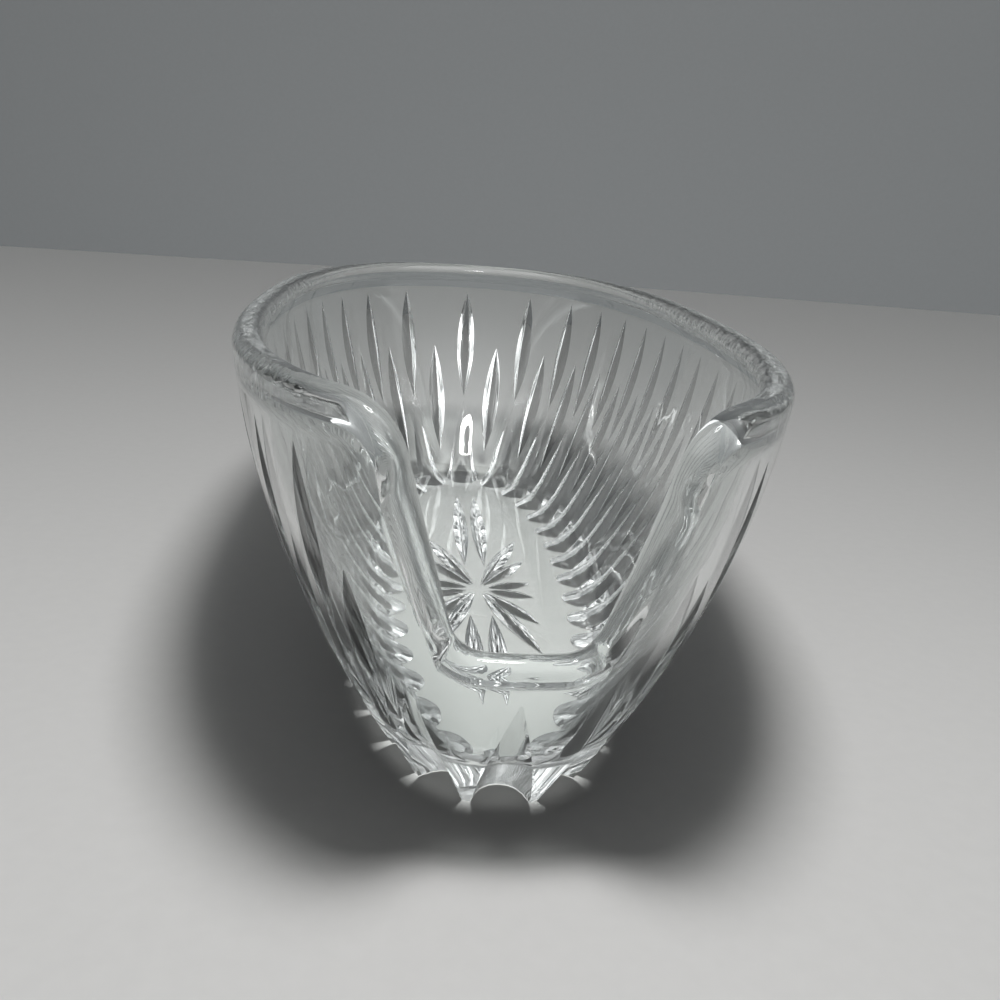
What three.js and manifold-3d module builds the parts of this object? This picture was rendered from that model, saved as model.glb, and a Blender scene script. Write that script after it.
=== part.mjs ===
// Silverware holder: one piece of clear cut crystal. An oval tub stands on a scalloped foot, its walls
// flare up to a round lip, and a deep U-shaped notch in the front end lets the handles lean out.
// Millimetres, +Z up. The origin is on the table under the middle of the foot, and the notch faces -Y.
import * as THREE from "three";
import { mergeVertices } from "three/addons/utils/BufferGeometryUtils.js";
import Module from "manifold-3d";

// Overall sizes
const HEIGHT = 80;
const RIM_LENGTH = 244;
const RIM_WIDTH = 114;
const FOOT_LENGTH = 180;
const FOOT_WIDTH = 56;
// Exponent of the oval outline: 2 is an ellipse, and more is squarer
const SQUARENESS = 2.4;
// How far the wall swells out of the straight line from foot to rim
const WALL_BULGE = 5.5;

// Glass: the wall thins from the floor up to the rim, by this power of the height still to go
const WALL_AT_FLOOR = 6;
const WALL_AT_RIM = 3.6;
const WALL_THINNING = 3;
const FLOOR = 12;
const FLOOR_CORNER_RADIUS = 9;
// The lip is a round bead, thicker than the wall, that runs out into the inside over a short reach
const LIP_WIDTH = 6;
const LIP_REACH = 6;

// Notch in the front end, measured on the finished opening
const NOTCH_DEPTH = 41;
const NOTCH_MOUTH = 46;
const NOTCH_BOTTOM = 23;
const NOTCH_CORNER_RADIUS = 6;
const NOTCH_EAR_RADIUS = 11;

// Cut pattern: flutes at the foot and two rows of olives up the wall, in columns round the whole oval
const COLUMNS = 32;
const FLUTE_TOP = 33;
const FLUTE_DEPTH = 4.6;
// Glass left between two flutes at the foot
const FLUTE_LAND = 1.4;
const OLIVE_WIDTH = 6.2;
const OLIVE_DEPTH = 1.5;
// Plain glass above the high olives, and between each of them and the flute under it
const RIM_BAND = 10;
const OLIVE_GAP = 1;
// The low olives start this far under the high ones' tops and run down this far between the flutes
const LOW_OLIVE_DROP = 19;
const LOW_OLIVE_REACH = 17;
// Plain glass left between a cut and the lip of the notch
const CUT_CLEARANCE = 2;

// Star cut in the underside, with plain glass between its tips and the edge of the foot. Its hub lies
// nearer to the notch than the middle of the foot.
const STAR_CENTRE = -8;
const STAR_END_MARGIN = 22;
const STAR_SIDE_MARGIN = 14;
const STAR_HUB = 3;
// Petals along each half of a side, how far apart their tips are, and the gap between the two halves
const STAR_SIDE_PETALS = 3;
const STAR_PETAL_PITCH = 15.5;
const STAR_SIDE_GAP = 9;
// A pair of long petals lies side by side at each end, and starts this far from the hub
const STAR_PAIR_GAP = 5.4;
const STAR_PAIR_START = 16;
const PETAL_WIDTH = 4.4;
const PETAL_DEPTH = 1.2;

// Facets
const RIM_STATIONS = 34;
const NOTCH_STATIONS = 14;
const WALL_ROWS = 5;
const BEAD_ROWS = 2;
const LIP_STEPS = 5;
const CORNER_STEPS = 3;
const CUT_STEPS = 4;
const CUT_FACETS = 4;
const TABLE_STEPS = 2000;

// Levels that follow from the sizes
const LIP_RADIUS = LIP_WIDTH / 2;
const RIM_LEVEL = HEIGHT - LIP_RADIUS;
const HIGH_OLIVE_TOP = HEIGHT - RIM_BAND;
const HIGH_OLIVE_BOTTOM = FLUTE_TOP + OLIVE_GAP;
const LOW_OLIVE_TOP = HIGH_OLIVE_TOP - LOW_OLIVE_DROP;
const LOW_OLIVE_BOTTOM = FLUTE_TOP - LOW_OLIVE_REACH;
const NOTCH_FLOOR = HEIGHT - NOTCH_DEPTH;
// The highest place under the notch that a cut may reach
const UNDER_LIP = NOTCH_FLOOR - LIP_WIDTH - CUT_CLEARANCE;

// Small steps for finding directions on the wall, and the distance at which two points are one
const ANGLE_STEP = 0.01;
const LEVEL_STEP = 0.1;
const MERGE_DISTANCE = 1e-5;
// Where the lip runs up the side of the notch, the bead's reach is measured square to it, up to this slope
const STEEPEST = 0.3;
// A cutter's groove runs on past the surface by this angle, so that it cuts cleanly
const GROOVE_OVERRUN = THREE.MathUtils.degToRad(20);

const wasm = await Module();
wasm.setup();

// Oval outlines. Angle 0 is the back end, a quarter turn is the +X side and a half turn is the notched
// front end.
function ovalPoint(angle, halfLength, halfWidth, level) {
  const across = Math.sin(angle);
  const along = Math.cos(angle);
  const power = 2 / SQUARENESS;
  const x = Math.sign(across) * halfWidth * Math.abs(across) ** power;
  const y = Math.sign(along) * halfLength * Math.abs(along) ** power;
  return new THREE.Vector3(x, y, level);
}

// Returns a function that gives the angle at a share of the way round an oval, by arc length
function arcLengthTable(halfLength, halfWidth) {
  const lengths = [0];
  let last = ovalPoint(0, halfLength, halfWidth, 0);
  for (let i = 1; i <= TABLE_STEPS; i++) {
    const point = ovalPoint((i / TABLE_STEPS) * Math.PI, halfLength, halfWidth, 0);
    lengths.push(lengths[i - 1] + point.distanceTo(last));
    last = point;
  }
  const half = lengths[TABLE_STEPS];
  const angleAt = (share) => {
    const wanted = Math.min(Math.abs(share) * 2, 1) * half;
    let i = 1;
    while (i < TABLE_STEPS && lengths[i] < wanted) i++;
    const part = (wanted - lengths[i - 1]) / (lengths[i] - lengths[i - 1]);
    return Math.sign(share) * ((i - 1 + part) / TABLE_STEPS) * Math.PI;
  };
  return { half, angleAt };
}

// Wall surfaces: the half size at a level, between the foot's and the rim's, swollen by the bulge
function halfSize(footSize, rimSize, level) {
  const rise = level / RIM_LEVEL;
  const straight = footSize / 2 + ((rimSize - footSize) / 2) * rise;
  return straight + 4 * WALL_BULGE * rise * (1 - rise);
}

function wallPoint(angle, level, inset) {
  const halfLength = halfSize(FOOT_LENGTH, RIM_LENGTH, level) - inset;
  const halfWidth = halfSize(FOOT_WIDTH, RIM_WIDTH, level) - inset;
  return ovalPoint(angle, halfLength, halfWidth, level);
}

// The wall's thickness at a level, without the lip's bead
function thickness(level) {
  const left = Math.max(RIM_LEVEL - level, 0) / (RIM_LEVEL - FLOOR);
  return WALL_AT_RIM + (WALL_AT_FLOOR - WALL_AT_RIM) * Math.min(left, 1) ** WALL_THINNING;
}

// The front end's angle for a place across and up the outer wall
function frontAngle(across, level) {
  const share = Math.abs(across) / halfSize(FOOT_WIDTH, RIM_WIDTH, level);
  return Math.PI - Math.asin(Math.min(share, 1) ** (SQUARENESS / 2));
}

// The middle of the lip along one half of the notch, from the bottom's centre out to the rim
function notchPath() {
  const run = (NOTCH_MOUTH - NOTCH_BOTTOM) / 2;
  const slope = Math.hypot(run, NOTCH_DEPTH);
  const up = new THREE.Vector2(run / slope, NOTCH_DEPTH / slope);
  const turn = Math.atan2(up.y, up.x);
  const bottomLevel = NOTCH_FLOOR - LIP_RADIUS;
  const sideShift = LIP_RADIUS / up.y;
  const acrossAt = (level) => NOTCH_MOUTH / 2 + sideShift + ((level - HEIGHT) * up.x) / up.y;
  const cornerRadius = NOTCH_CORNER_RADIUS + LIP_RADIUS;
  const earRadius = NOTCH_EAR_RADIUS - LIP_RADIUS;
  const cornerReach = cornerRadius * Math.tan(turn / 2);
  const earReach = earRadius * Math.tan(turn / 2);
  const cornerX = acrossAt(bottomLevel) - cornerReach;
  const earX = acrossAt(RIM_LEVEL) + earReach;
  const path = new THREE.Path();
  path.moveTo(0, bottomLevel);
  path.lineTo(cornerX, bottomLevel);
  path.absarc(cornerX, bottomLevel + cornerRadius, cornerRadius, -Math.PI / 2, turn - Math.PI / 2, false);
  path.absarc(earX, RIM_LEVEL - earRadius, earRadius, turn + Math.PI / 2, Math.PI / 2, true);
  return path;
}

// Stations round the vessel: where each line up the wall starts at the foot and ends at the lip
function halfStations() {
  const rimOval = arcLengthTable(RIM_LENGTH / 2, RIM_WIDTH / 2);
  const notch = notchPath().getSpacedPoints(NOTCH_STATIONS);
  const ear = notch[NOTCH_STATIONS];
  const earAngle = frontAngle(ear.x, ear.y);
  let earShare = 0.5;
  while (rimOval.angleAt(earShare) > earAngle) earShare -= 1 / TABLE_STEPS;
  const stations = [];
  for (let i = 0; i < RIM_STATIONS; i++) {
    const angle = rimOval.angleAt((earShare * i) / RIM_STATIONS);
    stations.push({ foot: angle, lip: angle, level: RIM_LEVEL });
  }
  for (let i = 0; i <= NOTCH_STATIONS; i++) {
    const place = notch[NOTCH_STATIONS - i];
    const foot = rimOval.angleAt(earShare + ((0.5 - earShare) * i) / NOTCH_STATIONS);
    stations.push({ foot, lip: frontAngle(place.x, place.y), level: place.y });
  }
  return stations;
}

function allStations() {
  const right = halfStations();
  const left = right.slice(1, -1).reverse();
  const all = [...right, ...left.map(({ foot, lip, level }) => ({ foot: -foot, lip: -lip, level }))];
  const edge = all.map(({ lip, level }) => wallPoint(lip, level, 0));
  return all.map((station, i) => {
    const path = edge[(i + 1) % all.length].clone().sub(edge[(i + all.length - 1) % all.length]);
    const flatness = Math.hypot(path.x, path.y) / path.length();
    return { ...station, reach: LIP_REACH / Math.max(flatness, STEEPEST) };
  });
}

// A closed surface through rings of points. A ring of one point closes an end.
function ringSolid(rings) {
  const points = rings.flat();
  const triangles = [];
  let start = 0;
  for (let row = 0; row + 1 < rings.length; row++) {
    const next = start + rings[row].length;
    const count = Math.max(rings[row].length, rings[row + 1].length);
    for (let i = 0; i < count; i++) {
      const j = (i + 1) % count;
      const [a, b] = rings[row].length === 1 ? [start, start] : [start + i, start + j];
      const [c, d] = rings[row + 1].length === 1 ? [next, next] : [next + j, next + i];
      if (a !== b) triangles.push(a, b, c);
      if (c !== d) triangles.push(a, c, d);
    }
    start = next;
  }
  const geometry = new THREE.BufferGeometry().setFromPoints(points);
  geometry.setIndex(triangles);
  return solidOf(geometry);
}

function solidOf(geometry) {
  const merged = mergeVertices(geometry, MERGE_DISTANCE);
  const vertProperties = merged.attributes.position.array;
  const triVerts = new Uint32Array(merged.index.array);
  return new wasm.Manifold(new wasm.Mesh({ numProp: 3, vertProperties, triVerts }));
}

// The lip: half round from the inner wall over to the outer wall, along the rim and round the notch
function lipRings(stations) {
  const middle = stations.map(({ lip, level }) => {
    return wallPoint(lip, level, 0).add(wallPoint(lip, level, LIP_WIDTH)).divideScalar(2);
  });
  const rings = [];
  for (let step = 0; step <= LIP_STEPS; step++) {
    const turn = Math.PI * (1 - step / LIP_STEPS);
    rings.push(
      stations.map(({ lip, level }, i) => {
        const before = middle[(i + stations.length - 1) % stations.length];
        const after = middle[(i + 1) % stations.length];
        const path = after.clone().sub(before).normalize();
        const out = wallPoint(lip, level, 0).sub(middle[i]);
        const over = path.cross(out).normalize().multiplyScalar(out.length());
        const point = middle[i].clone().addScaledVector(out, Math.cos(turn));
        return point.addScaledVector(over, Math.sin(turn));
      }),
    );
  }
  return rings;
}

// The inside of the wall leans by this much from upright where it meets the round corner of the floor
function cornerLean() {
  const low = halfSize(FOOT_WIDTH, RIM_WIDTH, FLOOR);
  const high = halfSize(FOOT_WIDTH, RIM_WIDTH, FLOOR + FLOOR_CORNER_RADIUS);
  return Math.atan2(high - low, FLOOR_CORNER_RADIUS);
}

function lineAt({ foot, lip, level }, at) {
  return foot + ((lip - foot) * at) / level;
}

// The inside, from the middle of the floor up to the lip
function innerRings(stations) {
  const lean = cornerLean();
  const cornerTop = FLOOR + FLOOR_CORNER_RADIUS * (1 - Math.sin(lean));
  const rings = [[new THREE.Vector3(0, 0, FLOOR)]];
  for (let step = 0; step < CORNER_STEPS; step++) {
    const turn = Math.PI / 2 - ((Math.PI / 2 - lean) * step) / CORNER_STEPS;
    const inset = thickness(cornerTop) + FLOOR_CORNER_RADIUS * (Math.cos(lean) - Math.cos(turn));
    const level = FLOOR + FLOOR_CORNER_RADIUS * (1 - Math.sin(turn));
    rings.push(
      stations.map((station) => {
        const point = wallPoint(lineAt(station, level), cornerTop, inset);
        return point.setZ(level);
      }),
    );
  }
  for (let row = 0; row < WALL_ROWS + BEAD_ROWS; row++) {
    rings.push(stations.map((station) => innerPoint(station, cornerTop, row)));
  }
  return rings;
}

// The plain wall's rows end where the lip's bead begins, and the bead has rows of its own
function innerPoint(station, bottom, row) {
  const bead = station.level - station.reach;
  const wallShare = Math.min(row / WALL_ROWS, 1);
  const beadShare = Math.max(row - WALL_ROWS, 0) / BEAD_ROWS;
  const level = bottom + (bead - bottom) * wallShare + station.reach * beadShare;
  const swell = THREE.MathUtils.smoothstep(beadShare, 0, 1);
  const inset = THREE.MathUtils.lerp(thickness(level), LIP_WIDTH, swell);
  return wallPoint(lineAt(station, level), level, inset);
}

// The outside, from just under the lip down to the middle of the underside
function outerRings(stations) {
  const rings = [];
  for (let row = WALL_ROWS - 1; row >= 0; row--) {
    rings.push(
      stations.map((station) => {
        const level = (station.level * row) / WALL_ROWS;
        return wallPoint(lineAt(station, level), level, 0);
      }),
    );
  }
  rings.push([new THREE.Vector3(0, 0, 0)]);
  return rings;
}

function blankVessel() {
  const stations = allStations();
  return ringSolid([...innerRings(stations), ...lipRings(stations), ...outerRings(stations)]);
}

// A cutter for a round-bottomed groove. Each place has a point on the surface, the directions across the
// groove and out of the glass, and the groove's half width and depth there.
function grooveCutter(places) {
  const rings = places.map(({ point, across, out, halfWidth, depth }) => {
    if (halfWidth === 0) return [point];
    const radius = (halfWidth ** 2 + depth ** 2) / (2 * depth);
    const reach = 2 * Math.atan2(depth, halfWidth) + GROOVE_OVERRUN;
    const ring = [];
    for (let i = 0; i <= CUT_FACETS; i++) {
      const turn = reach * ((2 * i) / CUT_FACETS - 1);
      const place = point.clone().addScaledVector(across, radius * Math.sin(turn));
      ring.push(place.addScaledVector(out, radius * (1 - Math.cos(turn)) - depth));
    }
    return ring;
  });
  return ringSolid(rings);
}

// The directions of the outer wall at a place: across runs level along the outline, and out leaves the
// glass
function wallFrame(angle, level) {
  const before = wallPoint(angle - ANGLE_STEP, level, 0);
  const after = wallPoint(angle + ANGLE_STEP, level, 0);
  const under = wallPoint(angle, level - LEVEL_STEP, 0);
  const over = wallPoint(angle, level + LEVEL_STEP, 0);
  const across = after.sub(before).normalize();
  const out = over.sub(under).cross(across).normalize();
  return { point: wallPoint(angle, level, 0), across, out };
}

// An olive: a pointed groove up the wall, deepest in the middle
function oliveCutter(angle, bottom, top) {
  const places = [];
  for (let i = 0; i <= CUT_STEPS; i++) {
    const along = (2 * i) / CUT_STEPS - 1;
    const size = Math.abs(along) === 1 ? 0 : 1 - along ** 2;
    const frame = wallFrame(angle, (bottom + top) / 2 + (along * (top - bottom)) / 2);
    places.push({ ...frame, halfWidth: (size * OLIVE_WIDTH) / 2, depth: size * OLIVE_DEPTH });
  }
  return grooveCutter(places);
}

// A flute: a round-bottomed groove that starts at a point up the wall and widens down through the foot
function fluteCutter(angle, top, footWidth) {
  const radius = ((footWidth / 2) ** 2 + FLUTE_DEPTH ** 2) / (2 * FLUTE_DEPTH);
  const overrun = top / CUT_STEPS;
  const places = [];
  for (let i = 0; i <= CUT_STEPS; i++) {
    const level = ((top + overrun) * i) / CUT_STEPS - overrun;
    const halfWidth = Math.min(radius, (footWidth / 2) * (1 - level / top));
    const size = i === CUT_STEPS ? 0 : halfWidth;
    const depth = radius - Math.sqrt(radius ** 2 - size ** 2);
    places.push({ ...wallFrame(angle, level), halfWidth: size, depth });
  }
  const end = places[0].point.clone().addScaledVector(places[0].out, radius / 2);
  return grooveCutter([{ point: end, halfWidth: 0 }, ...places]);
}

// Whether a cut up to this level stays beside or under the notch, with plain glass between it and the lip
function clearOfNotch(angle, top) {
  const place = wallPoint(angle, top, 0);
  const climb = Math.max(top - NOTCH_FLOOR, 0) / NOTCH_DEPTH;
  const notchHalf = (NOTCH_BOTTOM + (NOTCH_MOUTH - NOTCH_BOTTOM) * climb) / 2;
  return top <= UNDER_LIP || place.y > 0 || Math.abs(place.x) > notchHalf + LIP_WIDTH + CUT_CLEARANCE;
}

// A high olive stands over each flute, and the low olives stand between them. The notch takes some away.
function wallCutters() {
  const foot = arcLengthTable(FOOT_LENGTH / 2, FOOT_WIDTH / 2);
  const fluteWidth = (2 * foot.half) / COLUMNS - FLUTE_LAND;
  const cutters = [];
  for (let column = 1; column <= COLUMNS; column++) {
    const angle = foot.angleAt(column / COLUMNS - 0.5);
    const between = foot.angleAt((column - 0.5) / COLUMNS - 0.5);
    const fluteTop = clearOfNotch(angle, FLUTE_TOP) ? FLUTE_TOP : UNDER_LIP;
    cutters.push(fluteCutter(angle, fluteTop, fluteWidth));
    if (clearOfNotch(angle, HIGH_OLIVE_TOP)) {
      cutters.push(oliveCutter(angle, HIGH_OLIVE_BOTTOM, HIGH_OLIVE_TOP));
    }
    if (clearOfNotch(between, LOW_OLIVE_TOP)) {
      cutters.push(oliveCutter(between, LOW_OLIVE_BOTTOM, LOW_OLIVE_TOP));
    }
  }
  return cutters;
}

// One petal of the star: a pointed groove in the underside between two points
function petalCutter(start, tip) {
  const along = tip.clone().sub(start).normalize();
  const out = new THREE.Vector3(0, 0, -1);
  const across = out.clone().cross(along);
  const places = [];
  for (let i = 0; i <= CUT_STEPS; i++) {
    const share = i / CUT_STEPS;
    const size = i === 0 || i === CUT_STEPS ? 0 : 4 * share * (1 - share);
    const point = start.clone().lerp(tip, share);
    places.push({ point, across, out, halfWidth: (size * PETAL_WIDTH) / 2, depth: size * PETAL_DEPTH });
  }
  return grooveCutter(places);
}

// The quarter of the star on one side and towards one end. Its side petals run from the hub to tips on
// an oval inside the foot, and its end petal lies along the foot beside the other side's.
function quarterStar(side, end) {
  const halfLength = FOOT_LENGTH / 2 - STAR_END_MARGIN;
  const halfWidth = FOOT_WIDTH / 2 - STAR_SIDE_MARGIN;
  const centre = new THREE.Vector3(0, STAR_CENTRE, 0);
  const petals = [];
  for (let i = 0; i < STAR_SIDE_PETALS; i++) {
    const y = STAR_SIDE_GAP / 2 + i * STAR_PETAL_PITCH;
    const x = halfWidth * (1 - (y / halfLength) ** SQUARENESS) ** (1 / SQUARENESS);
    const tip = new THREE.Vector3(side * x, end * y, 0);
    const start = tip.clone().setLength(STAR_HUB);
    petals.push(petalCutter(start.add(centre), tip.add(centre)));
  }
  const pairX = (side * STAR_PAIR_GAP) / 2;
  const pairStart = new THREE.Vector3(pairX, STAR_CENTRE + end * STAR_PAIR_START, 0);
  petals.push(petalCutter(pairStart, new THREE.Vector3(pairX, end * halfLength, 0)));
  return petals;
}

function starCutters() {
  return [-1, 1].flatMap((side) => [-1, 1].flatMap((end) => quarterStar(side, end)));
}

function meshOf(name, solid, material) {
  const { numProp, vertProperties, triVerts } = solid.getMesh();
  const positions = new Float32Array((vertProperties.length / numProp) * 3);
  for (let i = 0; i < positions.length / 3; i++) {
    positions.set(vertProperties.subarray(i * numProp, i * numProp + 3), i * 3);
  }
  const geometry = new THREE.BufferGeometry();
  geometry.setAttribute("position", new THREE.BufferAttribute(positions, 3));
  geometry.setIndex(new THREE.BufferAttribute(new Uint32Array(triVerts), 1));
  geometry.computeVertexNormals();
  const mesh = new THREE.Mesh(geometry, material);
  mesh.name = name;
  return mesh;
}

const crystal = new THREE.MeshStandardMaterial({
  color: 0xe6eeea,
  roughness: 0.03,
  metalness: 0,
  transparent: true,
  opacity: 0.35,
});

let vessel = blankVessel();
for (const cutter of [...wallCutters(), ...starCutters()]) vessel = vessel.subtract(cutter);

const holder = new THREE.Group();
holder.add(meshOf("crystal_body", vessel, crystal));

export default holder;
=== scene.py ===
# %% [markdown]
# # A silverware holder of cut crystal
#
# The holder is one piece of clear lead crystal: an oval tub with a round lip, a deep notch in one end,
# a fluted foot, two rows of olive-shaped cuts up the wall and a star cut in the underside. This lesson
# builds it finely enough to refract light well, gives it a glass material, and sets a table, a lamp and a
# camera round it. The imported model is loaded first. It fixes the size, and the fine glass stands for it.

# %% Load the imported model
import math

import bmesh
import bpy
import numpy as np
from mathutils import Matrix, Vector


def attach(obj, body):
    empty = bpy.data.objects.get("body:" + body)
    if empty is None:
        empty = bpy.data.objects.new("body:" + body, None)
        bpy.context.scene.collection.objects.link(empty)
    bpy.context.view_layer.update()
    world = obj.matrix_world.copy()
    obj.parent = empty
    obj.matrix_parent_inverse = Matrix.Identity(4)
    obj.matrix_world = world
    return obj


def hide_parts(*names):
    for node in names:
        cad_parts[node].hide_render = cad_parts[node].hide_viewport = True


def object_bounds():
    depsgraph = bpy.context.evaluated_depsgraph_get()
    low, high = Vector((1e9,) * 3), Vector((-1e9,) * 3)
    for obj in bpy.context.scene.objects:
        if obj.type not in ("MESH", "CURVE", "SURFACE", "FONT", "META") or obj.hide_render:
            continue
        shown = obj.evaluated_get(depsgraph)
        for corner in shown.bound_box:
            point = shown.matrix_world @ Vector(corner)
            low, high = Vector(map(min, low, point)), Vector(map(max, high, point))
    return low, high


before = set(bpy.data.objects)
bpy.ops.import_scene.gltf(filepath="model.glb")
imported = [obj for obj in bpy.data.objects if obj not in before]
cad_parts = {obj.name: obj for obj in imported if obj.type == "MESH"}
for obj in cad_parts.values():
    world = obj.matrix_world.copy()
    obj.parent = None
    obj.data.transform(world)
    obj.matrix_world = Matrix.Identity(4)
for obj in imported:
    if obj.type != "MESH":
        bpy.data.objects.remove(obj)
cad_low, cad_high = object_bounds()
print("packed model:", [round(v, 4) for v in cad_high - cad_low], "m")

# %% [markdown]
# ## Sizes
#
# Every size is in millimetres, as on a drawing, and is turned into metres only when points are made. The
# outline is a superellipse: the formula of an ellipse with an exponent of 2.4 in place of 2, which
# gives the slightly squared oval that the rim has.

# %% Sizes of the holder
MM = 0.001
HEIGHT = 80.0
RIM_LENGTH, RIM_WIDTH = 244.0, 114.0
FOOT_LENGTH, FOOT_WIDTH = 180.0, 56.0
SQUARENESS = 2.4
WALL_BULGE = 5.5
WALL_AT_FLOOR, WALL_AT_RIM, WALL_THINNING = 6.0, 3.6, 3.0
FLOOR, FLOOR_CORNER = 12.0, 9.0
LIP_WIDTH, LIP_REACH, STEEPEST = 6.0, 2.6, 0.3
NOTCH_DEPTH, NOTCH_MOUTH, NOTCH_BOTTOM = 41.0, 46.0, 23.0
NOTCH_CORNER, NOTCH_EAR = 6.0, 11.0
LIP = LIP_WIDTH / 2
RIM_LEVEL = HEIGHT - LIP
NOTCH_FLOOR = HEIGHT - NOTCH_DEPTH


def outline(angle, half_length, half_width):
    """Points of the oval. Angle 0 is the closed end, and a half turn is the notched end."""
    across, along = np.sin(angle), np.cos(angle)
    power = 2 / SQUARENESS
    x = np.sign(across) * half_width * np.abs(across) ** power
    y = np.sign(along) * half_length * np.abs(along) ** power
    return x, y


def half_size(foot, rim, level):
    rise = level / RIM_LEVEL
    return foot / 2 + (rim - foot) / 2 * rise + 4 * WALL_BULGE * rise * (1 - rise)


def thickness(level):
    """How thick the wall is at a level, without the lip's bead. It thins towards the rim."""
    left = np.clip((RIM_LEVEL - level) / (RIM_LEVEL - FLOOR), 0, 1)
    return WALL_AT_RIM + (WALL_AT_FLOOR - WALL_AT_RIM) * left**WALL_THINNING


def wall_points(angle, level, inset=0.0):
    """Points on the wall, as an array of x, y, z in millimetres. inset 0 is the outside."""
    x, y = outline(
        angle,
        half_size(FOOT_LENGTH, RIM_LENGTH, level) - inset,
        half_size(FOOT_WIDTH, RIM_WIDTH, level) - inset,
    )
    return np.stack([x, y, level + 0 * x], axis=-1)


side = wall_points(np.array([math.pi / 2]), np.array([RIM_LEVEL]))[0]
print("half width of the rim:", round(float(side[0]), 2), "mm")
print("wall half way up:", round(float(thickness(HEIGHT / 2)), 1), "mm")

# %% [markdown]
# ## Lines up the wall
#
# A smooth surface needs evenly spaced points. Equal steps of angle would crowd them at the ends of a long
# oval, so the oval's length is measured first, in small steps, and the stations are spread by that length.
# Round the notch the lip leaves the rim, so the stations there follow the notch's own path: a flat bottom,
# a round corner, a leaning side and a round ear. It is worked out here from lines and arcs.

# %% Stations round the oval
RIM_STATIONS = 150
NOTCH_STATIONS = 64


def angle_by_length(half_length, half_width):
    """A function from a share of the way round (0 at the closed end) to an angle, and half the length."""
    angle = np.linspace(0, math.pi, 20001)
    x, y = outline(angle, half_length, half_width)
    length = np.concatenate([[0], np.cumsum(np.hypot(np.diff(x), np.diff(y)))])
    half = length[-1]
    return lambda share: np.sign(share) * np.interp(np.abs(share) * 2 * half, length, angle), half


def notch_path():
    """The middle of the lip along half of the notch: distance across and level, evenly spaced."""
    run = (NOTCH_MOUTH - NOTCH_BOTTOM) / 2
    slope = math.atan2(NOTCH_DEPTH, run)
    bottom = NOTCH_FLOOR - LIP
    corner, ear = NOTCH_CORNER + LIP, NOTCH_EAR - LIP

    def across(level):
        return NOTCH_MOUTH / 2 + LIP / math.sin(slope) + (level - HEIGHT) / math.tan(slope)

    corner_x = across(bottom) - corner * math.tan(slope / 2)
    ear_x = across(RIM_LEVEL) + ear * math.tan(slope / 2)
    turn = np.linspace(0, slope, 400)
    low = np.stack([corner_x + corner * np.sin(turn), bottom + corner * (1 - np.cos(turn))])
    high = np.stack([ear_x - ear * np.sin(turn[::-1]), RIM_LEVEL - ear * (1 - np.cos(turn[::-1]))])
    path = np.concatenate([[[0.0], [bottom]], low, high], axis=1)
    length = np.concatenate([[0], np.cumsum(np.hypot(*np.diff(path, axis=1)))])
    even = np.linspace(0, length[-1], NOTCH_STATIONS + 1)
    return np.interp(even, length, path[0]), np.interp(even, length, path[1])


def front_angle(across, level):
    share = np.minimum(np.abs(across) / half_size(FOOT_WIDTH, RIM_WIDTH, level), 1)
    return math.pi - np.arcsin(share ** (SQUARENESS / 2))


def stations():
    """For each line up the wall: its angle at the foot, its angle at the lip and the lip's level."""
    rim_angle, _ = angle_by_length(RIM_LENGTH / 2, RIM_WIDTH / 2)
    across, level = notch_path()
    ear = front_angle(across[-1], level[-1])
    shares = np.linspace(0, 0.5, 4001)
    ear_share = np.interp(ear, rim_angle(shares), shares)
    rim = rim_angle(ear_share * np.arange(RIM_STATIONS) / RIM_STATIONS)
    front = rim_angle(ear_share + (0.5 - ear_share) * np.arange(NOTCH_STATIONS + 1) / NOTCH_STATIONS)
    foot = np.concatenate([rim, front])
    lip = np.concatenate([rim, front_angle(across[::-1], level[::-1])])
    levels = np.concatenate([rim * 0 + RIM_LEVEL, level[::-1]])
    back = slice(-2, 0, -1)
    return (
        np.concatenate([foot, -foot[back]]),
        np.concatenate([lip, -lip[back]]),
        np.concatenate([levels, levels[back]]),
    )


def bead_reach():
    """How far down each line the lip's bead runs out. On the steep sides of the notch it is further."""
    edge = wall_points(LIP_ANGLE, LIP_LEVEL)
    path = np.roll(edge, -1, 0) - np.roll(edge, 1, 0)
    flatness = np.hypot(path[:, 0], path[:, 1]) / np.linalg.norm(path, axis=1)
    return LIP_REACH / np.maximum(flatness, STEEPEST)


FOOT_ANGLE, LIP_ANGLE, LIP_LEVEL = stations()
BEAD_REACH = bead_reach()
print(len(FOOT_ANGLE), "stations round the oval")

# %% [markdown]
# ## The blank
#
# A glassworker starts from a blank: the plain tub before any cut. Its section is one closed line, from
# the middle of the floor, round the floor's corner, up the inside, over the half-round lip, down the
# outside and across the underside. Each place on that line gives one ring of points round the tub. The
# wall is thinner at the top, and the lip stands on it as a bead with a narrow crease under it. Where the
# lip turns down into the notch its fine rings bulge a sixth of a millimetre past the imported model, and
# clipping the points to that model's box takes this off.

# %% Rings of the blank
WALL_ROWS = 26
LIP_ROWS = 14
CORNER_ROWS = 8
INNER_ROWS = 20
BEAD_ROWS = 8
# The last rings on the floor and under the foot, as shares of the ones beside them
FLOOR_MIDDLE, FOOT_MIDDLE = (0.94, 0.98, 1.0), (0.9, 0.97, 1.0)


def line_at(level):
    return FOOT_ANGLE + (LIP_ANGLE - FOOT_ANGLE) * level / LIP_LEVEL


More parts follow.
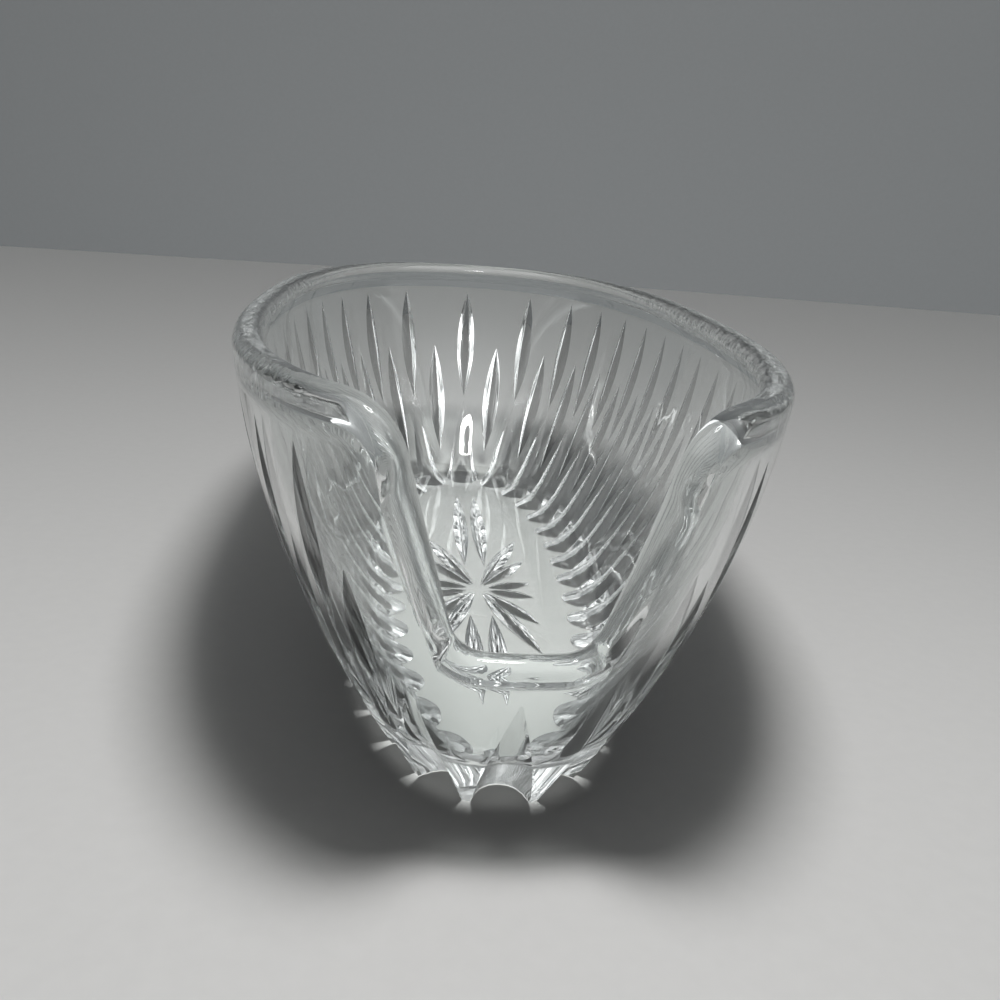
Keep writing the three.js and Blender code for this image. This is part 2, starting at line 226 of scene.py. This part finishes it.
def lip_rings():
    """Half-round rings over the lip, square to the line that its middle follows."""
    outside, inside = wall_points(LIP_ANGLE, LIP_LEVEL), wall_points(LIP_ANGLE, LIP_LEVEL, LIP_WIDTH)
    middle = (outside + inside) / 2
    along = np.roll(middle, -1, 0) - np.roll(middle, 1, 0)
    out = outside - middle
    radius = np.linalg.norm(out, axis=1, keepdims=True)
    over = np.cross(along, out)
    over *= radius / np.linalg.norm(over, axis=1, keepdims=True)
    turns = np.linspace(math.pi, 0, LIP_ROWS + 1)
    return [middle + out * math.cos(turn) + over * math.sin(turn) for turn in turns]


def floor_rings():
    """The flat floor and the round corner from it up into the wall."""
    low = half_size(FOOT_WIDTH, RIM_WIDTH, FLOOR)
    high = half_size(FOOT_WIDTH, RIM_WIDTH, FLOOR + FLOOR_CORNER)
    lean = math.atan2(high - low, FLOOR_CORNER)
    top = FLOOR + FLOOR_CORNER * (1 - math.sin(lean))
    rings = []
    for turn in np.linspace(math.pi / 2, lean, CORNER_ROWS + 1)[:-1]:
        inset = thickness(top) + FLOOR_CORNER * (math.cos(lean) - math.cos(turn))
        ring = wall_points(line_at(top), np.full(len(FOOT_ANGLE), top), inset)
        ring[:, 2] = FLOOR + FLOOR_CORNER * (1 - math.sin(turn))
        rings.append(ring)
    flat = rings[0] * FLOOR_MIDDLE
    return [flat] + rings, top


def blank_rings():
    rings, top = floor_rings()
    bead = LIP_LEVEL - BEAD_REACH
    for share in np.arange(INNER_ROWS) / INNER_ROWS:
        level = top + (bead - top) * share
        rings.append(wall_points(line_at(level), level, thickness(level)))
    for share in np.arange(BEAD_ROWS) / BEAD_ROWS:
        level = bead + BEAD_REACH * share
        swell = share**2 * (3 - 2 * share)
        inset = thickness(level) * (1 - swell) + LIP_WIDTH * swell
        rings.append(wall_points(line_at(level), level, inset))
    rings += lip_rings()
    for share in np.arange(WALL_ROWS - 1, -1, -1) / WALL_ROWS:
        level = LIP_LEVEL * share
        rings.append(wall_points(line_at(level), level))
    rings.append(rings[-1] * FOOT_MIDDLE)
    return rings


smallest, largest = np.array(cad_low) / MM, np.array(cad_high) / MM
blank_sections = [np.clip(ring, smallest, largest) for ring in blank_rings()]
print(len(blank_sections), "rings of", len(blank_sections[0]), "points")

# %% [markdown]
# ## Lofting by extrusion
#
# In Blender such a form is made by hand from a circle: its edge is extruded again and again, and each new
# ring is moved to its place. The helper below does exactly that for the blank and for every cutting tool.
# Each point remembers its number round the ring in a layer, which extrusion copies, so that it finds its
# place. The two open ends are filled, and the normals are turned outwards.

# %% A loft from a circle
def loft(name, rings):
    """A closed solid through rings of points in millimetres, all with the same number of points."""
    bpy.ops.object.select_all(action="DESELECT")
    bpy.ops.mesh.primitive_circle_add(vertices=len(rings[0]), radius=0.01)
    piece = bpy.context.object
    piece.name = piece.data.name = name
    bpy.ops.object.mode_set(mode="EDIT")
    mesh = bmesh.from_edit_mesh(piece.data)
    place = mesh.verts.layers.int.new("place")
    for number, vertex in enumerate(mesh.verts):
        vertex[place] = number
        vertex.co = Vector(rings[0][number] * MM)
    newest = [edge for edge in mesh.edges]
    bpy.ops.mesh.edge_face_add()
    bpy.ops.mesh.select_all(action="DESELECT")
    for edge in newest:
        edge.select_set(True)
    mesh.select_flush(True)
    for face in mesh.faces:
        face.select_set(False)
    for edge in newest:
        edge.select_set(True)
    bmesh.update_edit_mesh(piece.data)
    for ring in rings[1:]:
        bpy.ops.mesh.extrude_edges_move()
        mesh = bmesh.from_edit_mesh(piece.data)
        place = mesh.verts.layers.int["place"]
        for vertex in mesh.verts:
            if vertex.select:
                vertex.co = Vector(ring[vertex[place]] * MM)
        bmesh.update_edit_mesh(piece.data)
    bpy.ops.mesh.edge_face_add()
    bpy.ops.mesh.select_all(action="SELECT")
    bpy.ops.mesh.remove_doubles(threshold=1e-7)
    bpy.ops.mesh.normals_make_consistent(inside=False)
    bpy.ops.object.mode_set(mode="OBJECT")
    return piece


glass = loft("crystal_tub", blank_sections)
print("blank:", len(glass.data.vertices), "points,", len(glass.data.polygons), "faces")

# %% [markdown]
# ## Cutting tools
#
# The cutter presses the blank on a turning wheel. A wheel with a round edge leaves a round-bottomed groove,
# and a wheel with a pointed edge leaves a mitre: two nearly flat flanks that meet in a valley. The flanks
# are so steep that light inside the glass can't pass them and is turned aside, so that a mitre looks dark
# with bright edges. Here each groove has its own tool, a solid whose lower side is the groove and whose
# upper side stands clear of the glass. A tool is a loft too, with rings across the groove: each has a
# point on the surface, a direction across, a direction out of the glass, a half width and a depth.

# %% Tools for grooves
CUT_FACETS = 12
OVERRUN = math.radians(20)
MITRE_OVERRUN, MITRE_POWER = 1.4, 1.25
TIP = 0.02
ANGLE_STEP, LEVEL_STEP = 0.01, 0.1


def round_ring(point, across, out, half_width, depth):
    """One ring of a round groove's tool: an arc under the surface, closed by a line above it."""
    radius = (half_width**2 + depth**2) / (2 * depth)
    reach = 2 * math.atan2(depth, half_width) + OVERRUN
    turn = reach * np.linspace(-1, 1, CUT_FACETS + 1)[:, None]
    return point + across * radius * np.sin(turn) + out * (radius * (1 - np.cos(turn)) - depth)


def mitre_ring(point, across, out, half_width, depth):
    """One ring of a mitre's tool: two nearly flat flanks that go on past the surface."""
    place = MITRE_OVERRUN * np.linspace(-1, 1, CUT_FACETS + 1)[:, None]
    return point + across * half_width * place + out * depth * (np.abs(place) ** MITRE_POWER - 1)


def wall_place(angle, level):
    """A point on the outside, with the directions across and out of the wall there."""
    angle, level = np.array([angle]), np.array([level])
    across = (wall_points(angle + ANGLE_STEP, level) - wall_points(angle - ANGLE_STEP, level))[0]
    up = (wall_points(angle, level + LEVEL_STEP) - wall_points(angle, level - LEVEL_STEP))[0]
    out = np.cross(up, across)
    return wall_points(angle, level)[0], across / np.linalg.norm(across), out / np.linalg.norm(out)


out_of_side = wall_place(math.pi / 2, HEIGHT / 2)[2]
print("out of the long side at mid height:", np.round(out_of_side, 2))

# %% [markdown]
# ## Flutes and olives
#
# Thirty-two columns go round the oval. At the foot each has a flute, a round groove with the outline of a
# pointed arch. Over it stands a high olive, a mitre that is pointed at both ends and deepest in the middle,
# and a low olive stands between every two columns. The notch takes some of them away. The narrow ridges of
# glass between the flutes reach the table as points, on which the light gathers.

# %% Tools for the wall
COLUMNS = 32
FLUTE_TOP, FLUTE_DEPTH, FLUTE_LAND = 33.0, 4.6, 1.4
FLUTE_ARCH = 1.6
OLIVE_WIDTH, OLIVE_DEPTH = 6.2, 2.5
RIM_BAND, OLIVE_GAP = 10.0, 1.0
LOW_OLIVE_DROP, LOW_OLIVE_REACH = 19.0, 17.0
CUT_CLEARANCE = 2.0
HIGH_OLIVE = (FLUTE_TOP + OLIVE_GAP, HEIGHT - RIM_BAND)
LOW_OLIVE = (FLUTE_TOP - LOW_OLIVE_REACH, HEIGHT - RIM_BAND - LOW_OLIVE_DROP)
UNDER_LIP = NOTCH_FLOOR - LIP_WIDTH - CUT_CLEARANCE
OLIVE_STEPS, FLUTE_STEPS = 18, 20


def olive_tool(name, angle, bottom, top):
    rings = []
    for along in np.linspace(-1, 1, OLIVE_STEPS + 1):
        size = max(1 - along**2, TIP)
        place = wall_place(angle, (bottom + top) / 2 + along * (top - bottom) / 2)
        rings.append(mitre_ring(*place, size * OLIVE_WIDTH / 2, size * OLIVE_DEPTH))
    return loft(name, rings)


def flute_tool(name, angle, top, foot_width):
    radius = ((foot_width / 2) ** 2 + FLUTE_DEPTH**2) / (2 * FLUTE_DEPTH)
    rings = []
    for level in np.linspace(-top / 5, top * (1 - TIP), FLUTE_STEPS + 1):
        arch = 1 - np.sign(level) * abs(level / top) ** FLUTE_ARCH
        half_width = min(radius * 0.999, foot_width / 2 * arch)
        depth = radius - math.sqrt(radius**2 - half_width**2)
        rings.append(round_ring(*wall_place(angle, level), half_width, depth))
    return loft(name, rings)


def clear_of_notch(angle, top):
    x, y, _ = wall_points(np.array([angle]), np.array([top]))[0]
    climb = max(top - NOTCH_FLOOR, 0) / NOTCH_DEPTH
    notch_half = (NOTCH_BOTTOM + (NOTCH_MOUTH - NOTCH_BOTTOM) * climb) / 2
    return top <= UNDER_LIP or y > 0 or abs(x) > notch_half + LIP_WIDTH + CUT_CLEARANCE


foot_angle, foot_half = angle_by_length(FOOT_LENGTH / 2, FOOT_WIDTH / 2)
flute_width = 2 * foot_half / COLUMNS - FLUTE_LAND
tools = []
for column in range(1, COLUMNS + 1):
    angle = float(foot_angle(column / COLUMNS - 0.5))
    between = float(foot_angle((column - 0.5) / COLUMNS - 0.5))
    top = FLUTE_TOP if clear_of_notch(angle, FLUTE_TOP) else UNDER_LIP
    tools.append(flute_tool(f"flute_tool_{column}", angle, top, flute_width))
    if clear_of_notch(angle, HIGH_OLIVE[1]):
        tools.append(olive_tool(f"high_olive_tool_{column}", angle, *HIGH_OLIVE))
    if clear_of_notch(between, LOW_OLIVE[1]):
        tools.append(olive_tool(f"low_olive_tool_{column}", between, *LOW_OLIVE))
print(len(tools), "tools for the wall, flutes", round(flute_width, 2), "mm wide at the foot")

# %% [markdown]
# ## The star
#
# The star in the underside is made of mitres too. Its hub lies a little nearer to the notch than the middle
# of the foot. On each side petals run from the hub to tips on an oval inside the foot, and towards each end
# a pair of long petals lies side by side. A quarter of the star is worked out and turned into all four.

# %% Tools for the star
STAR_CENTRE = -8.0
STAR_END_MARGIN, STAR_SIDE_MARGIN, STAR_HUB = 22.0, 14.0, 3.0
STAR_SIDE_PETALS, STAR_PITCH, STAR_SIDE_GAP = 3, 15.5, 9.0
STAR_PAIR_GAP, STAR_PAIR_START = 5.4, 16.0
PETAL_WIDTH, PETAL_DEPTH, PETAL_STEPS = 4.4, 1.9, 16


def petal_tool(name, start, tip):
    along = (tip - start) / np.linalg.norm(tip - start)
    out = np.array([0.0, 0.0, -1.0])
    across = np.cross(out, along)
    rings = []
    for share in np.linspace(0, 1, PETAL_STEPS + 1):
        size = max(4 * share * (1 - share), TIP)
        point = start * (1 - share) + tip * share
        rings.append(mitre_ring(point, across, out, size * PETAL_WIDTH / 2, size * PETAL_DEPTH))
    return loft(name, rings)


def quarter_star(side, end):
    """Start and tip of each petal on one side and towards one end."""
    half_length, half_width = FOOT_LENGTH / 2 - STAR_END_MARGIN, FOOT_WIDTH / 2 - STAR_SIDE_MARGIN
    centre = np.array([0, STAR_CENTRE, 0])
    places = []
    for number in range(STAR_SIDE_PETALS):
        y = STAR_SIDE_GAP / 2 + number * STAR_PITCH
        x = half_width * (1 - (y / half_length) ** SQUARENESS) ** (1 / SQUARENESS)
        tip = np.array([side * x, end * y, 0])
        places.append((centre + tip / np.linalg.norm(tip) * STAR_HUB, centre + tip))
    x = side * STAR_PAIR_GAP / 2
    pair_start = np.array([x, STAR_CENTRE + end * STAR_PAIR_START, 0])
    places.append((pair_start, np.array([x, end * half_length, 0])))
    return places


star = [petal for side in (-1, 1) for end in (-1, 1) for petal in quarter_star(side, end)]
petals = [petal_tool(f"petal_tool_{i + 1}", *petal) for i, petal in enumerate(star)]
print(len(petals), "petals")

# %% [markdown]
# ## Naming the surfaces
#
# The glass material will treat the cuts and the lip a little differently from the plain wall, so each face
# has to know which it is. A Boolean keeps the material number of every face, those of the tools too, so
# the numbers serve as names: 0 is plain glass, 1 an olive, 2 the lip, 3 a flute and 4 a petal of the star.
# Each has a share of the plain glass's colour in that order, which darkens the cuts as painted shade.

# %% Numbers for the surfaces
PLAIN, OLIVE, LIP_FACE, FLUTE, PETAL = range(5)
# Painted shade: below 1 a kind of face gets a darker base colour, standing in for the light its flanks turn
# aside
PAINTED_SHADE_SHARES = np.array([1.0, 0.28, 1.0, 0.8, 0.7])
LIP_MARGIN = 1.15
KINDS = {"high": OLIVE, "low": OLIVE, "flute": FLUTE, "petal": PETAL}


def lip_faces(mesh):
    """The number of the lip for each face near the line that the lip's middle follows."""
    middle = (wall_points(LIP_ANGLE, LIP_LEVEL) + wall_points(LIP_ANGLE, LIP_LEVEL, LIP_WIDTH)) / 2 * MM
    centres = np.array([face.center for face in mesh.polygons])
    distance = np.min([np.linalg.norm(centres - place, axis=1) for place in middle], axis=0)
    return np.where(distance < LIP * LIP_MARGIN * MM, LIP_FACE, PLAIN)


def number_faces(piece, numbers):
    for slot in range(PETAL + 1):
        piece.data.materials.append(None)
    piece.data.polygons.foreach_set("material_index", numbers)


number_faces(glass, lip_faces(glass.data))
for tool in tools + petals:
    number_faces(tool, np.full(len(tool.data.polygons), KINDS[tool.name.split("_")[0]]))
print("numbered", 1 + len(tools + petals), "pieces")

# %% [markdown]
# ## Cutting the glass
#
# A Boolean modifier takes every tool out of the blank. The tools go into a collection, so that one modifier
# handles them all, and they are deleted afterwards. The numbers then become attributes, which a material
# can read. Last the surface is shaded smooth, except where two faces meet at a real edge: the rims of the
# cuts have to stay crisp to sparkle.

# %% Cut, name and smooth
EDGE_ANGLE = math.radians(24)
bench = bpy.data.collections.new("tools")
bpy.context.scene.collection.children.link(bench)
for tool in tools + petals:
    for owner in list(tool.users_collection):
        owner.objects.unlink(tool)
    bench.objects.link(tool)
bpy.ops.object.select_all(action="DESELECT")
glass.select_set(True)
bpy.context.view_layer.objects.active = glass
cut = glass.modifiers.new("cuts", "BOOLEAN")
cut.operation = "DIFFERENCE"
cut.operand_type = "COLLECTION"
cut.collection = bench
cut.solver = "MANIFOLD"
bpy.ops.object.modifier_apply(modifier="cuts")
for tool in tools + petals:
    bpy.data.objects.remove(tool)
bpy.data.collections.remove(bench)

kind = np.zeros(len(glass.data.polygons), dtype=np.int32)
glass.data.polygons.foreach_get("material_index", kind)
glass.data.polygons.foreach_set("material_index", kind * 0)
in_cut = np.isin(kind, (OLIVE, FLUTE, PETAL))
# The painted shade share of each face, low on the cuts, is kept as a face attribute
layers = {"cut": in_cut, "lip": kind == LIP_FACE, "clearness": PAINTED_SHADE_SHARES[kind]}
for name, values in layers.items():
    glass.data.attributes.new(name, "FLOAT", "FACE").data.foreach_set("value", values.astype(np.float32))
bpy.ops.object.shade_smooth_by_angle(angle=EDGE_ANGLE)
glass.data.calc_loop_triangles()
print("cut glass:", len(glass.data.loop_triangles), "triangles,", int(in_cut.sum()), "faces in cuts")

# %% [markdown]
# ## Writing shader maths
#
# A material is a graph of nodes. Written node by node it is long, so a small class wraps one socket and
# lets Python's own operators add the Math nodes: `noise * 0.5 + 0.2` becomes two nodes and their links.

# %% A socket with operators
class Value:
    """One output socket of a node tree, on which arithmetic adds Math nodes."""

    def __init__(self, tree, socket):
        self.tree, self.socket = tree, socket

    def node(self, kind, settings=None, **inputs):
        """Adds a node, sets its settings, then fills or links its sockets by name."""
        made = self.tree.nodes.new(kind)
        for key, value in (settings or {}).items():
            setattr(made, key, value)
        for key, value in inputs.items():
            spot = made.inputs[int(key[1:])] if key[0] == "_" else made.inputs[key.replace("_", " ")]
            if isinstance(value, Value):
                self.tree.links.new(value.socket, spot)
            else:
                spot.default_value = value
        return made

    def out(self, made, name=0):
        return Value(self.tree, made.outputs[name])

    def math(self, operation, first, second=0.0):
        return self.out(self.node("ShaderNodeMath", {"operation": operation}, _0=first, _1=second))

    def __add__(self, other):
        return self.math("ADD", self, other)

    def __mul__(self, other):
        return self.math("MULTIPLY", self, other)

    def __sub__(self, other):
        return self.math("SUBTRACT", self, other)

    def __rsub__(self, other):
        return self.math("SUBTRACT", other, self)

    __radd__, __rmul__ = __add__, __mul__


def new_material(name):
    """A material with its surface shader, and a start for expressions: the object's own coordinates."""
    material = bpy.data.materials.new(name)
    material.use_nodes = True
    tree = material.node_tree
    shader = tree.nodes["Principled BSDF"]
    place = tree.nodes.new("ShaderNodeTexCoord")
    return material, shader, Value(tree, place.outputs["Object"])


print("shader maths ready")

# %% [markdown]
# ## Crystal
#
# Lead crystal bends light more than window glass: its refractive index is about 1.55. It is clear, with a
# faint cool green where it is thick. Fire polishing leaves the surface glossy but not dead flat, so a very
# shallow, slow ripple goes into the normals, and along the sides the lip is livelier. Real cuts look dark
# because their flanks turn light aside. Here painted shade stands in for part of that, a darker base colour
# on the cut faces: it isn't how glass works, and its amounts are chosen to look like the photograph. Where
# the holder stands it is taken to be finely scuffed in the lowest millimetre, which scatters the light.

# %% Crystal material
REFRACTION = 1.55
RIPPLE_DEPTH, LIVELY = 0.00006, 7.0
SIDE_ACROSS, SIDE_ALONG = (0.034, 0.042), (0.07, 0.03)
SCUFFED_LEVELS, SCUFF, POLISH = (0.0002, 0.0012), 0.28, 0.004
crystal, shader, place = new_material("cut_crystal")
tree = crystal.node_tree
shader.inputs["Transmission Weight"].default_value = 1
shader.inputs["IOR"].default_value = REFRACTION
spot = place.node("ShaderNodeSeparateXYZ", Vector=place)
across, along, level = (place.out(spot, axis) for axis in "XYZ")


def surface(name):
    return place.out(place.node("ShaderNodeAttribute", {"attribute_name": name}), "Fac")


def fade(value, start, end, at_start=0.0, at_end=1.0):
    """A share that goes from one value to another between two places."""
    made = place.node(
        "ShaderNodeMapRange", Value=value, From_Min=start, From_Max=end, To_Min=at_start, To_Max=at_end
    )
    return place.out(made)


def noise(scale, detail, distortion=0.0):
    made = place.node("ShaderNodeTexNoise", Vector=place, Scale=scale, Detail=detail, Distortion=distortion)
    return place.out(made, 0)


# Painted shade: the base colour runs from black to the faint green of the glass by each face's share, so
# the cuts come out darker
tint_and_painted_shade = place.node(
    "ShaderNodeMix",
    {"data_type": "RGBA"},
    Factor=surface("clearness"),
    _6=(0.0, 0.0, 0.0, 1),
    _7=(0.965, 0.985, 0.978, 1),
)
tree.links.new(tint_and_painted_shade.outputs[2], shader.inputs["Base Color"])
roughness = fade(level, *SCUFFED_LEVELS, 1.0, 0.0) * noise(900.0, 3.0) * SCUFF + POLISH
tree.links.new(roughness.socket, shader.inputs["Roughness"])
on_side = surface("lip") * fade(across.math("ABSOLUTE", across), *SIDE_ACROSS) * fade(along, *SIDE_ALONG)
height = noise(70.0, 1.5) + noise(170.0, 2.0, 1.2) * on_side * LIVELY
bump = place.node("ShaderNodeBump", Strength=1.0, Distance=RIPPLE_DEPTH, Height=height)
tree.links.new(bump.outputs["Normal"], shader.inputs["Normal"])
print("crystal:", len(tree.nodes), "nodes")

# %% [markdown]
# ## Light through the glass
#
# A path tracer can't find the way from a small lamp through bent glass to the table, so the shadow of such
# glass comes out black. The usual cure is used here: for shadow rays the glass is simply transparent.
# A mix shader changes over to a Transparent shader when the light path is a shadow ray. How much gets
# through depends on the surface: the level floor lets the most light through, and even gathers it, the
# leaning wall less, and the cuts and the lip throw it aside and stay dark. The shares are chosen by
# comparing the shadow with the photograph.

# %% Shadow rays
CUT_SHADE, LIP_SHADE, WALL_PASS = 0.85, 0.8, 0.82
mirror = place.out(place.node("ShaderNodeFresnel", IOR=REFRACTION))
shadow_ray = place.out(place.node("ShaderNodeLightPath"), "Is Shadow Ray")
facing = place.out(place.node("ShaderNodeTexCoord"), "Normal")
upright = place.out(place.node("ShaderNodeSeparateXYZ", Vector=facing), "Z")
floor_share = fade(upright.math("ABSOLUTE", upright), 0.25, 1.0, WALL_PASS, 1.0)
cut_share = 1 - surface("cut") * CUT_SHADE
lip_share = 1 - surface("lip") * LIP_SHADE
through = place.node("ShaderNodeBsdfTransparent", Color=(1.3, 1.32, 1.31, 1))
passed = shadow_ray * (1 - mirror) * floor_share * cut_share * lip_share
blend = place.node("ShaderNodeMixShader", Fac=passed)
tree.links.new(shader.outputs[0], blend.inputs[1])
tree.links.new(through.outputs[0], blend.inputs[2])
tree.links.new(blend.outputs[0], tree.nodes["Material Output"].inputs["Surface"])
glass.data.materials.clear()
glass.data.materials.append(crystal)
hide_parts("crystal_body")
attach(glass, "root")
print("with shadow rays:", len(tree.nodes), "nodes")

# %% [markdown]
# ## Table and backdrop
#
# The holder stands on a plain pale table in front of a plain grey wall. Both are stage: they aren't part of
# the object. The table lies a fifth of a millimetre under the foot, because two surfaces in one place
# would flicker.

# %% Table and backdrop
def stage_plane(name, size, matrix, colour, roughness):
    bpy.ops.object.select_all(action="DESELECT")
    bpy.ops.mesh.primitive_plane_add(size=size)
    plane = bpy.context.object
    plane.name = plane.data.name = name
    plane.data.transform(matrix)
    material, shader, place = new_material(name)
    grain = place.out(place.node("ShaderNodeTexNoise", Vector=place, Scale=260.0, Detail=4.0), 0)
    shade = place.node(
        "ShaderNodeMix",
        {"data_type": "RGBA"},
        Factor=grain,
        _6=(*(c * 0.97 for c in colour), 1),
        _7=(*(min(c * 1.03, 1) for c in colour), 1),
    )
    material.node_tree.links.new(shade.outputs[2], shader.inputs["Base Color"])
    shader.inputs["Roughness"].default_value = roughness
    plane.data.materials.append(material)
    return plane


table = stage_plane("table", 6.0, Matrix.Translation((0, -2.0, -0.0002)), (0.62, 0.615, 0.605), 0.6)
wall_turn = Matrix.Rotation(math.radians(-10), 4, "Z") @ Matrix.Rotation(math.radians(90), 4, "X")
wall = stage_plane("wall", 8.0, Matrix.Translation((0, 1.0, 0)) @ wall_turn, (0.225, 0.235, 0.24), 0.8)
print("stage:", table.name, wall.name)

# %% [markdown]
# ## Light
#
# One ring-shaped lamp hangs close over the notched end. It throws the flared rim's oval shadow on the table
# and leaves small bright rings on the glass. It is built as two lights, almost in one place: a bulb that
# lights the table, whose own image the glass doesn't show, and a faint ring for the image. Both have a
# constant falloff, so that brightness depends only on how squarely the light falls.

# %% Lamp
BULB_PLACE = Vector((0.002, -0.125, 0.262))
RING_PLACE = Vector((0.002, -0.108, 0.262))
LAMP_RADIUS, LAMP_HOLE = 0.027, 0.5
BULB_STRENGTH, RING_STRENGTH = 23.5, 3.0
DISK_CENTRE, DISK_RADIUS = (0.5, 0.5, 0.0), 0.5


def new_light(name, kind, strength, place):
    """A light with a constant falloff, and a start for expressions in its nodes."""
    data = bpy.data.lights.new(name, kind)
    data.energy = 1.0
    data.use_nodes = True
    light = bpy.data.objects.new(name, data)
    bpy.context.scene.collection.objects.link(light)
    light.matrix_world = Matrix.Translation(place)
    falloff = data.node_tree.nodes.new("ShaderNodeLightFalloff")
    falloff.inputs["Strength"].default_value = strength
    return light, data, Value(data.node_tree, falloff.outputs["Constant"])


bulb, bulb_data, bulb_glow = new_light("bulb", "POINT", BULB_STRENGTH, BULB_PLACE)
bulb_data.shadow_soft_size = LAMP_RADIUS
bulb.visible_glossy = bulb.visible_transmission = False
bulb_data.node_tree.links.new(bulb_glow.socket, bulb_data.node_tree.nodes["Emission"].inputs["Strength"])

ring, ring_data, ring_glow = new_light("ring", "AREA", RING_STRENGTH, RING_PLACE)
ring_data.shape = "DISK"
ring_data.size = 2 * LAMP_RADIUS
ring_tree = ring_data.node_tree
on_disk = ring_glow.out(ring_glow.node("ShaderNodeNewGeometry"), "Parametric")
radius = ring_glow.node("ShaderNodeVectorMath", {"operation": "DISTANCE"}, _0=on_disk, _1=DISK_CENTRE)
outside_hole = ring_glow.math("GREATER_THAN", ring_glow.out(radius, "Value"), DISK_RADIUS * LAMP_HOLE)
ring_tree.links.new((ring_glow * outside_hole).socket, ring_tree.nodes["Emission"].inputs["Strength"])
print("bulb and ring are", round((BULB_PLACE - RING_PLACE).length, 3), "m apart")

# %% [markdown]
# ## Room
#
# Glass shows its surroundings, so the room needs a bright ceiling and darker walls: the contrast between
# them draws the cuts. That brightness is only for rays that come straight from the glass. What falls on
# the table is an even, faint fill. A light path keeps the two apart.

# %% Room
ROOM_DARK, ROOM_TOP, ROOM_FILL = 0.47, 1.5, 0.16
CEILING_START, CEILING_FULL = 0.25, 0.85
world = bpy.data.worlds.new("room")
bpy.context.scene.world = world
world.use_nodes = True
room_tree = world.node_tree
view = Value(room_tree, room_tree.nodes.new("ShaderNodeTexCoord").outputs["Generated"])
up = view.out(view.node("ShaderNodeSeparateXYZ", Vector=view), "Z")
ramp = view.node(
    "ShaderNodeMapRange",
    {"interpolation_type": "SMOOTHSTEP"},
    Value=up,
    From_Min=CEILING_START,
    From_Max=CEILING_FULL,
)
ceiling = view.out(ramp)
path = view.node("ShaderNodeLightPath")
from_glass = view.math("MAXIMUM", view.out(path, "Is Glossy Ray"), view.out(path, "Is Transmission Ray"))
not_from_table = 1 - view.math("MINIMUM", view.out(path, "Diffuse Depth"), 1.0)
room = ROOM_DARK + ceiling * ROOM_TOP
strength = from_glass * not_from_table * (room - ROOM_FILL) + ROOM_FILL
room_tree.nodes["Background"].inputs["Color"].default_value = (0.98, 1.0, 1.0, 1)
room_tree.links.new(strength.socket, room_tree.nodes["Background"].inputs["Strength"])
print("room:", len(room_tree.nodes), "nodes")

# %% [markdown]
# ## Long light paths
#
# Thick glass passes light on from wall to wall many times. With the usual twelve bounces the lip and the
# sides of the notch would end in black, so more are allowed. Caustics, light that glass throws on the table
# in ways that can't be found without noise, stay off, because the shadow rays already stand for them.

# %% Bounces
cycles = bpy.context.scene.cycles
cycles.max_bounces = 32
cycles.transmission_bounces = 32
cycles.glossy_bounces = 16
cycles.caustics_refractive = False
cycles.caustics_reflective = False
print("bounces:", cycles.max_bounces)

# %% [markdown]
# ## Camera
#
# The photograph was taken from close by, a little above the rim, in front of the notched end. The numbers
# come from fitting the rim's oval, the sides and the cuts of the holder to the photograph, with a focal
# length that is assumed: one photograph hardly tells it apart from the length of the holder.

# %% Camera
CAMERA_PLACE = (-0.01953, -0.24710, 0.10858)
CAMERA_TURNS = (("Z", -5.67), ("X", 72.45), ("Z", 3.98))
camera_data = bpy.data.cameras.new("camera")
camera_data.lens = 36.0
camera_data.sensor_width = 36.0
camera_data.clip_start = 0.01
camera = bpy.data.objects.new("camera", camera_data)
bpy.context.scene.collection.objects.link(camera)
pose = Matrix.Translation(CAMERA_PLACE)
for axis, degrees in CAMERA_TURNS:
    pose = pose @ Matrix.Rotation(math.radians(degrees), 4, axis)
camera.matrix_world = pose
bpy.context.scene.camera = camera
bpy.context.scene.view_settings.view_transform = "Standard"
print("camera at", [round(v, 4) for v in camera.matrix_world.translation])
